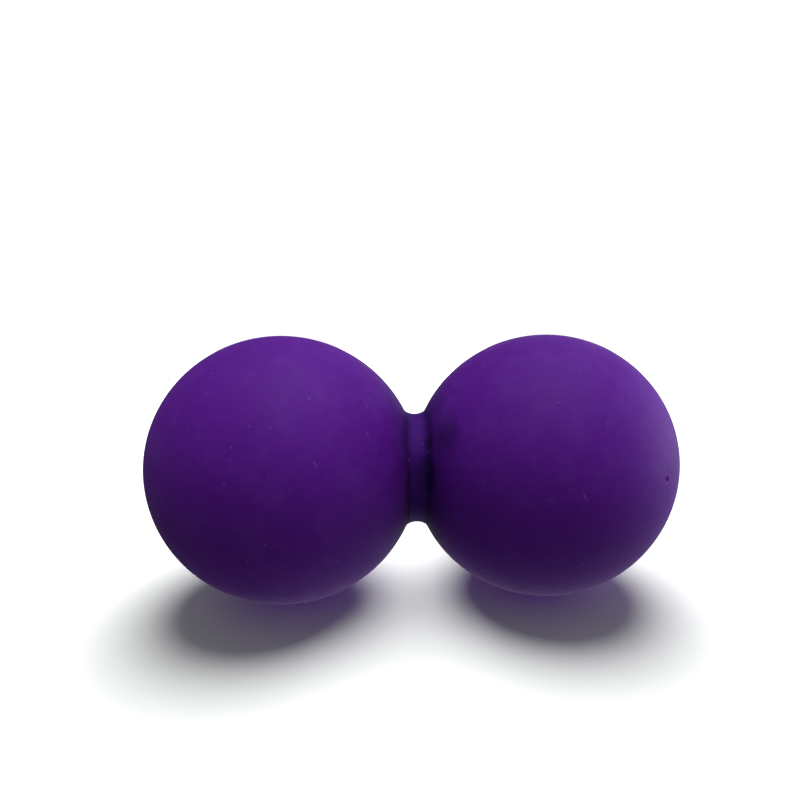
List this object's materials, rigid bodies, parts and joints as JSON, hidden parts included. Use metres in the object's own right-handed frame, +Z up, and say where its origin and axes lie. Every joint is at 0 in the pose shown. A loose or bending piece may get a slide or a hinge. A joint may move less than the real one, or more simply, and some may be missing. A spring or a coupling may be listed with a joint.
{
  "type": "double massage ball",
  "caption": "Double massage ball: two smooth silicone balls joined end to end by a short flexible waist, with a groove between them for the spine.",
  "frame": {"origin": "on the floor, midway between the two balls' rest flats, straight below the middle of the waist", "axes": "+X along the line from the left ball's centre to the right ball's, +Y away from the viewer, +Z up"},
  "size_m": [0.1244, 0.063, 0.0628],
  "materials": {
    "purple_silicone": "smooth matt deep purple silicone with a soft sheen",
    "waist_silicone": "smooth matt deep purple silicone, a little duller than the balls",
    "core_rubber": "matt dense black rubber",
    "link_elastomer": "satin grey elastomer"
  },
  "bodies": {
    "left_ball": {"left_ball_skin": "purple_silicone", "left_core_ball": "core_rubber", "left_end_plug": "purple_silicone"},
    "collar": {"waist_collar": "waist_silicone"},
    "link": {"waist_link": "link_elastomer"},
    "right_ball": {"right_ball_skin": "purple_silicone", "right_core_ball": "core_rubber", "right_end_plug": "purple_silicone"}
  },
  "joints": [
    {"name": "waist_bend_up_down", "type": "hinge", "parent": "left_ball", "child": "collar", "pos_m": [0, 0, 0.03135], "axis": [0, 1, 0], "range_deg": [-10, 10], "stiffness_Nm_per_rad": 2.6, "deforming": ["waist_collar"]},
    {"name": "waist_twist", "type": "hinge", "parent": "collar", "child": "link", "pos_m": [0, 0, 0.03135], "axis": [1, 0, 0], "range_deg": [-15, 15], "stiffness_Nm_per_rad": 2.3, "deforming": ["waist_link"]},
    {"name": "waist_bend_sideways", "type": "hinge", "parent": "link", "child": "right_ball", "pos_m": [0, 0, 0.03135], "axis": [0, 0, 1], "range_deg": [-10, 10], "stiffness_Nm_per_rad": 2.6, "deforming": ["waist_link"]}
  ]
}
